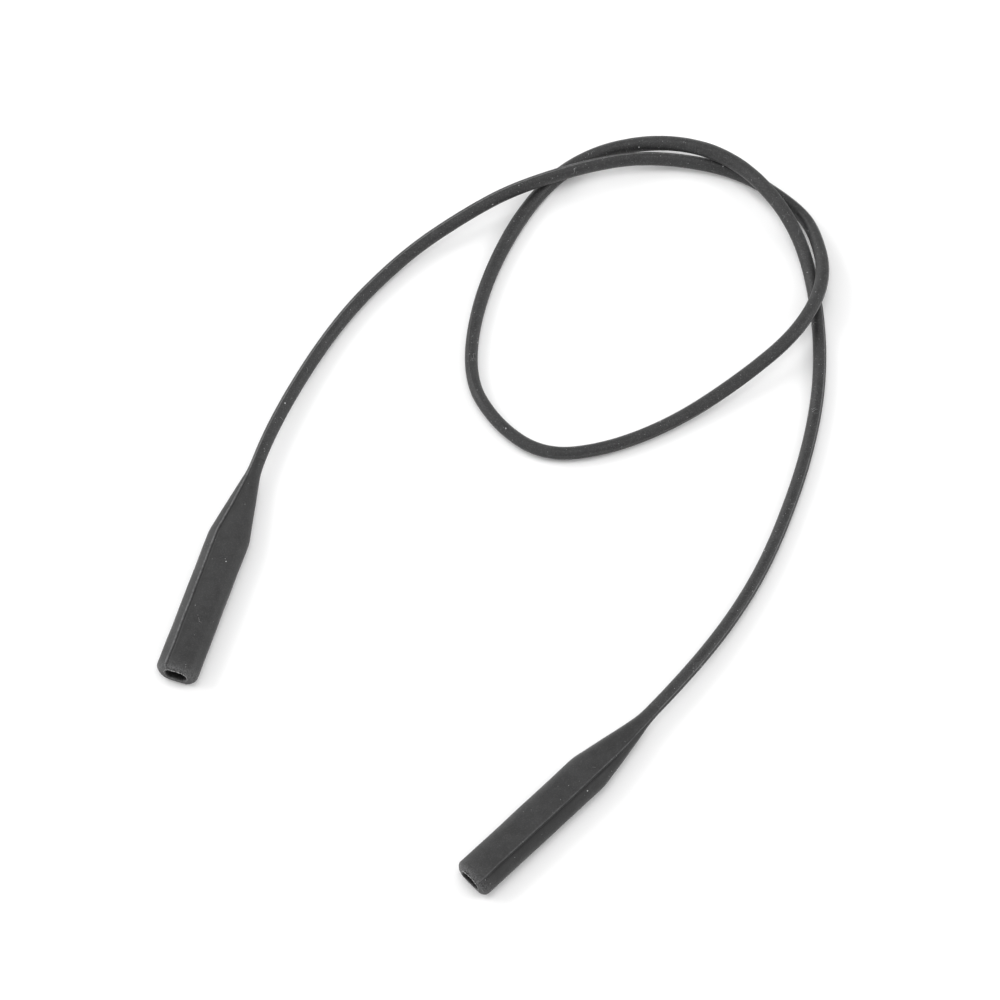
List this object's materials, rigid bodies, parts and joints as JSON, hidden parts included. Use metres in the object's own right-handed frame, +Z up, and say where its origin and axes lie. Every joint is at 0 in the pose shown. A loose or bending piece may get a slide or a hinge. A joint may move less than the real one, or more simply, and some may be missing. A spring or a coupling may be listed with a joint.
{
  "type": "eyeglasses retainer strap",
  "caption": "Soft silicone eyeglasses strap: a round neck cord lying in a loose overhand loop, with a hollow tapered sleeve at each end that grips a temple tip.",
  "frame": {"origin": "on the surface that the strap lies on, midway between the outer limits of the two temple sleeves", "axes": "+Z up from the surface; +Y away from the sleeves' open mouths, towards the looped cord; +X from the left sleeve to the right sleeve"},
  "size_m": [0.1347, 0.1785, 0.0057],
  "materials": {
    "sleeve_silicone": "matt, lightly dusty moulded silicone",
    "cord_silicone": "matt, lightly dusty moulded silicone"
  },
  "bodies": {
    "root": {"left_temple_sleeve": "sleeve_silicone", "right_temple_sleeve": "sleeve_silicone", "neck_cord": "cord_silicone"}
  },
  "joints": []
}
